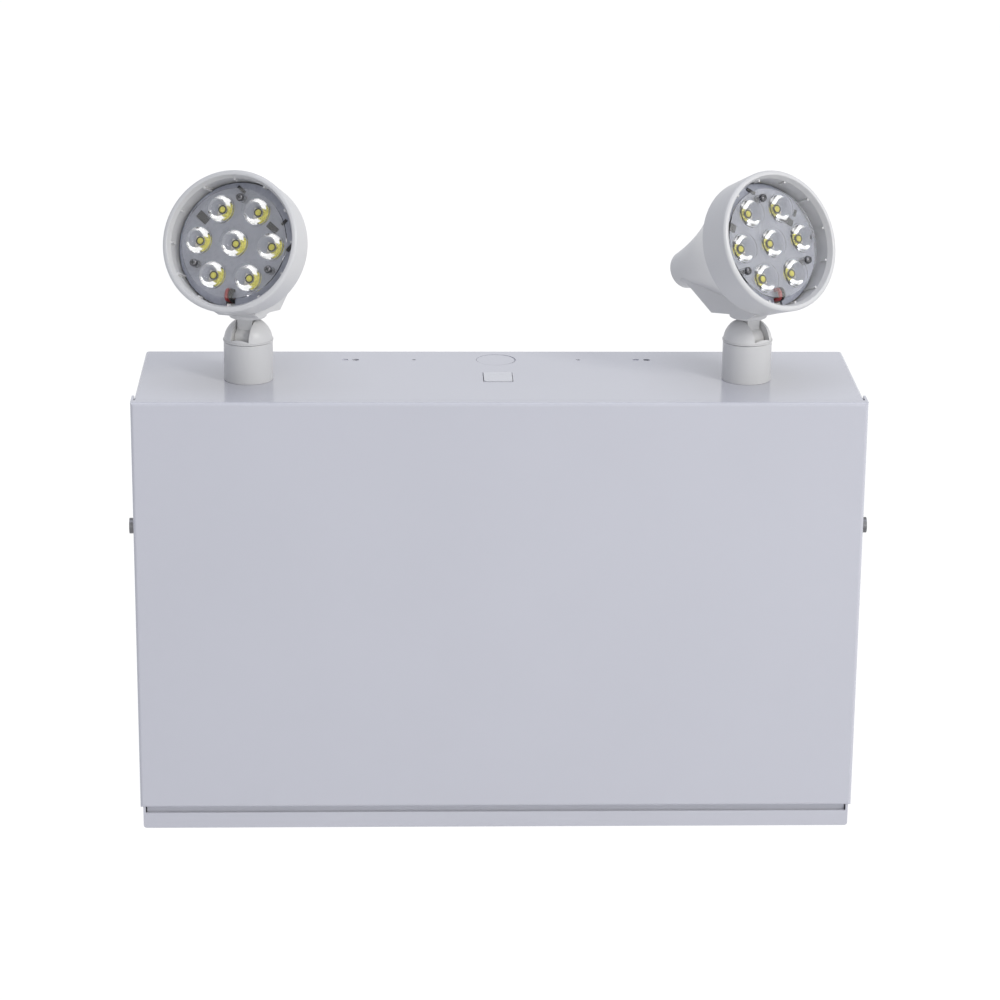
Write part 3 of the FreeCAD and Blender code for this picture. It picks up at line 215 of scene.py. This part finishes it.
def mottled(name, colour, roughness, grain=900.0, depth=0.05, variation=0.03, cloud=30.0, spread=0.06):
    """A moulded or coated surface: fine grain as bump, faint clouds in colour and gloss."""
    made = Shader(name, colour, roughness)
    clouds = made.noise(cloud, 3.0)
    stops = ((0.3, shade(colour, 1 - variation)), (0.7, shade(colour, 1 + variation)))
    made.link(made.ramp(clouds, stops), "Base Color")
    made.link(made.spread(clouds, roughness - spread, roughness + spread), "Roughness")
    made.bump(made.noise(grain, 2.0), depth, 0.0002)
    return made


def paint_material():
    """Gloss powder coat with a faint orange peel and a few specks of dust."""
    colour = (0.583, 0.583, 0.618)
    made = mottled("white_paint", colour, 0.15, grain=420.0, depth=0.03, variation=0.012, cloud=9.0,
                   spread=0.03)
    cells = made.add("ShaderNodeTexVoronoi", {"Vector": made.place, "Scale": 55.0, "Randomness": 1.0})
    size = made.add("ShaderNodeSeparateColor", {"Color": cells.outputs["Color"]}).outputs["Red"]
    reach = made.spread(size, 0.0, 0.013, 0.93, 1.0)
    inside = made.add("ShaderNodeMath", {0: cells.outputs["Distance"], 1: reach}, operation="LESS_THAN")
    plain = made.bsdf.inputs["Base Color"].links[0].from_socket
    mix = made.add("ShaderNodeMix", data_type="RGBA")
    made.tree.links.new(inside.outputs[0], mix.inputs["Factor"])
    made.tree.links.new(plain, mix.inputs["A"])
    mix.inputs["B"].default_value = (0.30, 0.29, 0.28, 1.0)
    made.link(mix.outputs["Result"], "Base Color")
    return made


def metal_material(name, colour, roughness, grain=(60.0, 60.0, 1600.0)):
    """Plated or drawn metal with fine streaks."""
    made = Shader(name, colour, roughness, Metallic=1.0)
    stretch = made.add("ShaderNodeMapping", {"Vector": made.place, "Scale": grain}).outputs["Vector"]
    streaks = made.add("ShaderNodeTexNoise", {"Vector": stretch, "Scale": 1.0, "Detail": 3.0}).outputs["Fac"]
    made.link(made.ramp(streaks, ((0.3, shade(colour, 0.86)), (0.7, shade(colour, 1.08)))), "Base Color")
    made.link(made.spread(streaks, roughness - 0.08, roughness + 0.10), "Roughness")
    made.bump(streaks, 0.06, 0.0001)
    return made


WAVE_UNITS = 20.0


def striped_material(name, colour, dark, pitch, axis, roughness):
    """Stacked sheets or close turns of wire: fine parallel lines along one axis."""
    made = Shader(name, colour, roughness)
    scale = [0.0, 0.0, 0.0]
    scale["XYZ".index(axis)] = 1.0 / (pitch * WAVE_UNITS)
    run = made.add("ShaderNodeMapping", {"Vector": made.place, "Scale": scale}).outputs["Vector"]
    wave = made.add("ShaderNodeTexWave", {"Vector": run, "Scale": WAVE_UNITS / 2, "Distortion": 0.3},
                    bands_direction="DIAGONAL").outputs["Fac"]
    made.link(made.ramp(wave, ((0.25, dark), (0.75, colour))), "Base Color")
    made.bump(wave, 0.4, 0.0002)
    return made


def board_material(name, colour, trace, scale, roughness=0.35):
    """A printed circuit board: solder mask with the copper under it showing as a faint pattern."""
    made = Shader(name, colour, roughness)
    cells = made.add("ShaderNodeTexVoronoi", {"Vector": made.place, "Scale": scale}, distance="CHEBYCHEV",
                     feature="F1").outputs["Distance"]
    made.link(made.ramp(cells, ((0.30, colour), (0.36, trace))), "Base Color")
    made.link(made.spread(made.noise(60.0), roughness - 0.08, roughness + 0.10), "Roughness")
    made.bump(cells, 0.10, 0.0001)
    return made


def clear_material(name, tint, roughness, ior):
    """Clear moulded plastic or glass, with a trace of flow marks."""
    made = Shader(name, tint, roughness, IOR=ior)
    made.set("Transmission Weight", 1.0)
    flow = made.noise(140.0, 1.0)
    made.link(made.spread(flow, roughness * 0.5, roughness * 1.6), "Roughness")
    made.bump(flow, 0.05, 0.0002)
    return made


# Each moulded material: colour, roughness and what differs from the usual grain.
MOULDED = {
    "lamp_plastic": ((0.64, 0.635, 0.622), 0.34, dict(grain=1500.0, depth=0.04, variation=0.012, cloud=25.0)),
    "cream_plastic": ((0.68, 0.68, 0.69), 0.32, dict(grain=1500.0, depth=0.05, variation=0.015)),
    "battery_case": ((0.045, 0.046, 0.050), 0.45, dict(grain=700.0, depth=0.12, variation=0.15)),
    "black_plastic": ((0.020, 0.020, 0.022), 0.40, dict(grain=1100.0, depth=0.10, variation=0.2)),
    "nylon": ((0.70, 0.68, 0.62), 0.45, dict(grain=800.0, depth=0.06)),
    "red_wire": ((0.36, 0.040, 0.040), 0.38, dict(grain=1200.0, depth=0.06, variation=0.08)),
    "black_wire": ((0.018, 0.018, 0.018), 0.38, dict(grain=1200.0, depth=0.06, variation=0.15)),
    "phosphor": ((0.76, 0.70, 0.12), 0.35, dict(grain=2500.0, depth=0.08, variation=0.06)),
}
# Every other material: its maker and what the maker takes after the name.
OTHERS = {
    "steel": (metal_material, (0.17, 0.17, 0.18), 0.34),
    "zinc": (metal_material, (0.62, 0.63, 0.65), 0.32),
    "bare_aluminium": (metal_material, (0.74, 0.74, 0.76), 0.38, (40.0, 40.0, 900.0)),
    "green_board": (board_material, (0.020, 0.135, 0.050), (0.030, 0.200, 0.080), 260.0),
    "white_board": (board_material, (0.32, 0.335, 0.40), (0.355, 0.37, 0.435), 420.0, 0.30),
    "laminations": (striped_material, (0.20, 0.20, 0.21), (0.07, 0.07, 0.075), 0.7 * MM, "Y", 0.42),
    "winding": (striped_material, (0.62, 0.42, 0.10), (0.36, 0.22, 0.05), 0.9 * MM, "Z", 0.35),
    "fuse_glass": (clear_material, (0.95, 0.97, 0.97), 0.04, 1.50),
    "clear_lens": (clear_material, (0.985, 0.988, 0.99), 0.09, 1.49),
}
MATERIALS = {"white_paint": paint_material()}
for name, (colour, roughness, grain) in MOULDED.items():
    MATERIALS[name] = mottled(name, colour, roughness, **grain)
for name, (maker, *values) in OTHERS.items():
    MATERIALS[name] = maker(name, *values)

for entry in frame["record"]["subparts"]:
    slots = nodes[entry["node"]].data.materials
    slots.clear()
    slots.append(MATERIALS[entry["material_slot"]].material)


# Pieces added to the part, built as meshes in a local frame and then set in place.

class Piece:
    """A mesh in the making, with one material slot per name given."""

    def __init__(self, name, *slots):
        self.name = name
        self.slots = slots
        self.work = bmesh.new()

    def lathe(self, profile, place=(0.0, 0.0, 0.0), slot=0, steps=32):
        """Turns a (radius, y) profile about the local Y axis."""
        x, y, z = place
        rows = []
        for radius, along in profile:
            if radius < 1e-9:
                rows.append([self.work.verts.new((x, y + along, z))])
                continue
            angles = [2 * math.pi * n / steps for n in range(steps)]
            rows.append([self.work.verts.new((x + radius * math.cos(a), y + along, z + radius * math.sin(a)))
                         for a in angles])
        for one, two in zip(rows, rows[1:]):
            for n in range(steps):
                follow = (n + 1) % steps
                corners = [one[n % len(one)], one[follow % len(one)],
                           two[follow % len(two)], two[n % len(two)]]
                distinct = list(dict.fromkeys(corners))
                if len(distinct) > 2:
                    face = self.work.faces.new(distinct)
                    face.material_index = self.slots.index(slot) if slot else 0
        return rows

    def plate(self, front, back, features, steps=48):
        """A plate square to the local Y axis, pierced or edged by features.

        Each feature is (x, z, profile), and its profile runs from the front face to the back face.
        """
        edges = {front: [], back: []}
        for x, z, profile in features:
            rows = self.lathe(profile, (x, 0.0, z), steps=steps)
            for y, row in ((front, rows[0]), (back, rows[-1])):
                edges[y] += [self.work.edges.get((row[n], row[(n + 1) % steps])) for n in range(steps)]
        for loops in edges.values():
            bmesh.ops.triangle_fill(self.work, use_beauty=True, edges=loops)

    def block(self, low, high, slot=0, edge=0.1, turn=0.0):
        """A box with softened edges, turned about the local Y axis."""
        made = bmesh.ops.create_cube(self.work, size=1.0)["verts"]
        middle = (Vector(low) + Vector(high)) / 2
        span = Vector(high) - Vector(low)
        shape = Matrix.Translation(middle) @ Matrix.Rotation(turn, 4, "Y") @ Matrix.Diagonal((*span, 1.0))
        bmesh.ops.transform(self.work, matrix=shape, verts=made)
        edges = list({item for vert in made for item in vert.link_edges})
        bevel = bmesh.ops.bevel(self.work, geom=edges, offset=edge, segments=2, profile=0.5, affect="EDGES")
        whole = {face for item in bevel["faces"] for vert in item.verts for face in vert.link_faces}
        for face in whole:
            face.material_index = self.slots.index(slot) if slot else 0

    def finish(self, matrix, body, replaced=()):
        """Makes the object, gives it its materials, hides the nodes it replaces and sets it on its body."""
        bmesh.ops.recalc_face_normals(self.work, faces=self.work.faces)
        mesh = bpy.data.meshes.new(self.name)
        self.work.transform(matrix @ Matrix.Scale(MM, 4))
        self.work.to_mesh(mesh)
        self.work.free()
        obj = bpy.data.objects.new(self.name, mesh)
        scene.collection.objects.link(obj)
        for slot in self.slots:
            mesh.materials.append(MATERIALS[slot].material)
        mesh.shade_smooth()
        mesh.set_sharp_from_angle(angle=SMOOTH_ANGLE)
        if replaced:
            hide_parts(*replaced)
        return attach(obj, body)


def lamp_matrix(side):
    """The lamp's own frame: its rim's centre, with Y running back along its axis."""
    tilt = joints[side + "_tilt"]
    pan = math.atan2(-tilt["axis"][1], -tilt["axis"][0])
    turn = Matrix.Rotation(pan, 4, "Z") @ Matrix.Rotation(-LAMP_LIFT, 4, "X")
    return Matrix.Translation(tilt["pos_m"]) @ turn @ Matrix.Translation((0.0, -LAMP_REACH, LAMP_RISE))


def ring(count, first, radius):
    """Points spaced evenly round a circle, from a first angle in degrees."""
    angles = [math.radians(first) + 2 * math.pi * n / count for n in range(count)]
    return [(radius * math.cos(a), radius * math.sin(a)) for a in angles]


LED_SPOTS = [(0.0, 0.0)] + ring(6, 0, LED_PITCH)
SCREW_SPOTS = ring(3, 90, SCREW_RING)


def make_leds(side):
    """Each light source: a square base, a dark cup and a domed yellow phosphor."""
    piece = Piece(side + "_led_packages", "nylon", "black_plastic", "phosphor")
    base = LED_BASE_FRONT
    cup = ((CUP_OUT, 0.0), (CUP_OUT, -CUP_SIDE), (CUP_TOP, -CUP_HIGH), (CUP_LIP, -CUP_SIDE), (CUP_FOOT, 0.0))
    angles = [math.radians(15 * n) for n in range(6)]
    dome = [(PHOSPHOR_RAD * math.cos(a), -PHOSPHOR_HIGH * math.sin(a)) for a in angles]
    for x, z in LED_SPOTS:
        low = (x - LED_HALF, base, z - LED_HALF)
        high = (x + LED_HALF, BOARD_FRONT, z + LED_HALF)
        piece.block(low, high, edge=LED_EDGE)
        piece.lathe(cup, (x, base, z), "black_plastic")
        piece.lathe(dome + [(0.0, -PHOSPHOR_HIGH)], (x, base, z), "phosphor")
    piece.finish(lamp_matrix(side), side + "_head", [side + "_leds"])


def collimator_side():
    """The reflecting side of a lens, from its foot up.

    Low down it sends slanted light to the chip, and higher up straighter light.
    """
    radius, y = FOOT_RAD, FOOT
    run = [(radius, y)]
    step = (FOOT - WEB_BACK) / SIDE_STEPS
    for n in range(SIDE_STEPS):
        slant = SLANT_LOW if radius < SLANT_RAD else SLANT_HIGH
        toward_chip = math.atan2(radius, CHIP - y)
        radius += step * math.tan((slant + toward_chip) / 2)
        y -= step
        run.append((radius, y))
    return run


def make_lenses(side):
    """The clear moulding: seven collimators in a web that stands on three pillars."""
    front = [(LENS_RAD, WEB_FRONT), (LENS_RAD, LENS_FRONT + LENS_BREAK), (LENS_RAD - LENS_BREAK, LENS_FRONT),
             (0.0, LENS_FRONT)]
    lens = front + [(0.0, FOOT)] + collimator_side()
    pillar = ((SCREW_HOLE, WEB_FRONT), (SCREW_HOLE, BOARD_FRONT), (PILLAR_RAD, BOARD_FRONT),
              (PILLAR_RAD, WEB_BACK))
    edge = ((WEB_RAD, WEB_FRONT), (WEB_RAD, WEB_BACK))
    features = [(0.0, 0.0, edge)]
    features += [(x, z, lens) for x, z in LED_SPOTS]
    features += [(x, z, pillar) for x, z in SCREW_SPOTS]
    piece = Piece(side + "_lens_moulding", "clear_lens")
    piece.plate(WEB_FRONT, WEB_BACK, features)
    piece.finish(lamp_matrix(side), side + "_head", [side + "_lenses"])


def make_lamp_screws(side):
    """The three screws that hold the lens moulding: pan heads, with the shade of their cross recess painted as a
    black cross set into the head.
    """
    piece = Piece(side + "_cross_screws", "steel", "black_plastic")
    shank_long = BOARD_FRONT - WEB_FRONT
    head = HEAD_PROFILE + ((SCREW_RAD, 0.0), (SCREW_RAD, shank_long), (0.0, shank_long))
    for n, (x, z) in enumerate(SCREW_SPOTS):
        piece.lathe(head, (x, WEB_FRONT, z))
        # Painted shade: a thin black cross, flush with the head's face, stands for the dark inside of the cross
        # recess.
        low = (x - SHADE_CROSS_HALF, WEB_FRONT - SHADE_CROSS_FRONT, z - SHADE_CROSS_WIDE)
        high = (x + SHADE_CROSS_HALF, WEB_FRONT - SHADE_CROSS_BACK, z + SHADE_CROSS_WIDE)
        for quarter in (0.0, math.pi / 2):
            piece.block(low, high, "black_plastic", edge=SHADE_CROSS_EDGE, turn=quarter + SHADE_CROSS_TURN + n)
    piece.finish(lamp_matrix(side), side + "_head", [side + "_lamp_screws"])


def make_board_parts(side):
    """Small dark components between the lenses."""
    piece = Piece(side + "_board_parts", "black_plastic")
    for degrees, radius, long, wide in BOARD_PARTS:
        x, z = radius * math.cos(math.radians(degrees)), radius * math.sin(math.radians(degrees))
        low = (x - long / 2, BOARD_FRONT - PART_HIGH, z - wide / 2)
        high = (x + long / 2, BOARD_FRONT, z + wide / 2)
        piece.block(low, high, edge=PART_EDGE, turn=PART_TURN)
    piece.finish(lamp_matrix(side), side + "_head")


def make_tail_end(side):
    """The rounded end that closes the bell's tail, with a short skirt inside it."""
    top = TAIL_END + TAIL_DOME
    hollow = TAIL_RAD - TAIL_WALL
    skirt = [(0.0, top - TAIL_CROWN), (hollow, TAIL_END - SKIRT_TOP), (hollow, TAIL_END - SKIRT_DEEP),
             (TAIL_RAD - SKIRT_GAP_END, TAIL_END - SKIRT_DEEP),
             (TAIL_RAD - SKIRT_GAP_TOP, TAIL_END - SKIRT_TOP)]
    angles = [math.radians(7.5 * n) for n in range(12)]
    dome = [(TAIL_RAD * math.cos(a), TAIL_END + TAIL_DOME * math.sin(a)) for a in angles]
    piece = Piece(side + "_tail_end", "lamp_plastic")
    piece.lathe(skirt + dome + [(0.0, top)], steps=64)
    piece.finish(lamp_matrix(side), side + "_head")


for side in SIDES:
    make_leds(side)
    make_lenses(side)
    make_lamp_screws(side)
    make_board_parts(side)
    make_tail_end(side)


# Stage: pale floor, soft light and the photograph's camera.

def camera_light(tree):
    """One for rays that see the scene itself: from the camera, off gloss or through glass."""
    path = tree.nodes.new("ShaderNodeLightPath")
    seen = None
    for name in ("Is Camera Ray", "Is Glossy Ray", "Is Transmission Ray"):
        if seen is None:
            seen = path.outputs[name]
            continue
        node = tree.nodes.new("ShaderNodeMath")
        node.operation = "MAXIMUM"
        tree.links.new(seen, node.inputs[0])
        tree.links.new(path.outputs[name], node.inputs[1])
        seen = node.outputs[0]
    return seen


def make_world():
    """A white background for what is seen, and a weaker, tinted fill for what is lit."""
    world = bpy.data.worlds.new("studio")
    scene.world = world
    world.use_nodes = True
    tree = world.node_tree
    back = tree.nodes["Background"]
    seen = camera_light(tree)
    level = tree.nodes.new("ShaderNodeMapRange")
    tree.links.new(seen, level.inputs["Value"])
    level.inputs["To Min"].default_value = FILL
    level.inputs["To Max"].default_value = 1.0
    tint = tree.nodes.new("ShaderNodeMix")
    tint.data_type = "RGBA"
    tree.links.new(seen, tint.inputs["Factor"])
    tint.inputs["A"].default_value = (*FILL_TINT, 1.0)
    tint.inputs["B"].default_value = (*WHITE, 1.0)
    tree.links.new(tint.outputs["Result"], back.inputs["Color"])
    tree.links.new(level.outputs["Result"], back.inputs["Strength"])


def make_floor(height):
    """A white sweep at the cabinet's foot that keeps a light shadow."""
    mesh = bpy.data.meshes.new("floor")
    work = bmesh.new()
    bmesh.ops.create_grid(work, x_segments=1, y_segments=1, size=FLOOR_HALF)
    work.to_mesh(mesh)
    work.free()
    floor = bpy.data.objects.new("floor", mesh)
    scene.collection.objects.link(floor)
    floor.location.z = height
    made = Shader("floor", FLOOR_COLOUR, 0.9)
    glow = made.add("ShaderNodeEmission", {"Color": (*WHITE, 1.0), "Strength": FLOOR_GLOW})
    share = made.add("ShaderNodeMapRange", {"Value": camera_light(made.tree), "To Max": 1.0 - FLOOR_SHADOW})
    mix = made.add("ShaderNodeMixShader", {"Fac": share.outputs["Result"]})
    made.tree.links.new(made.bsdf.outputs[0], mix.inputs[1])
    made.tree.links.new(glow.outputs[0], mix.inputs[2])
    made.tree.links.new(mix.outputs[0], made.tree.nodes["Material Output"].inputs["Surface"])
    floor.data.materials.append(made.material)


def area_light(name, place, side, watts, tint):
    """A rectangular light that faces the cabinet."""
    light = bpy.data.lights.new(name, "AREA")
    light.shape = "RECTANGLE"
    light.size, light.size_y = side
    light.energy = watts
    light.color = tint
    obj = bpy.data.objects.new(name, light)
    scene.collection.objects.link(obj)
    obj.location = place
    obj.rotation_euler = (Vector(LIGHT_AIM) - Vector(place)).to_track_quat("-Z", "Y").to_euler()


def make_camera():
    """The photograph's camera: its place, its turns and its framing."""
    ahead = Vector((math.sin(CAMERA_YAW) * math.cos(CAMERA_PITCH),
                    math.cos(CAMERA_YAW) * math.cos(CAMERA_PITCH), -math.sin(CAMERA_PITCH)))
    right = Vector((math.cos(CAMERA_YAW), -math.sin(CAMERA_YAW), 0.0))
    down = ahead.cross(right)
    side = right * math.cos(CAMERA_ROLL) + down * math.sin(CAMERA_ROLL)
    below = down * math.cos(CAMERA_ROLL) - right * math.sin(CAMERA_ROLL)
    data = bpy.data.cameras.new("camera")
    data.sensor_width = SENSOR
    data.lens = FOCAL_PIXELS / IMAGE_SIDE * SENSOR
    data.shift_x = (IMAGE_SIDE / 2 - CENTRE_PIXEL[0]) / IMAGE_SIDE
    data.shift_y = (CENTRE_PIXEL[1] - IMAGE_SIDE / 2) / IMAGE_SIDE
    camera = bpy.data.objects.new("camera", data)
    scene.collection.objects.link(camera)
    turn = Matrix((side, -below, -ahead)).transposed().to_4x4()
    camera.matrix_world = Matrix.Translation(CAMERA_PLACE) @ turn
    scene.camera = camera


scene.view_settings.view_transform = "Standard"
make_world()
make_floor(cad_box[0][2])
make_camera()
for light in LIGHTS:
    area_light(*light)
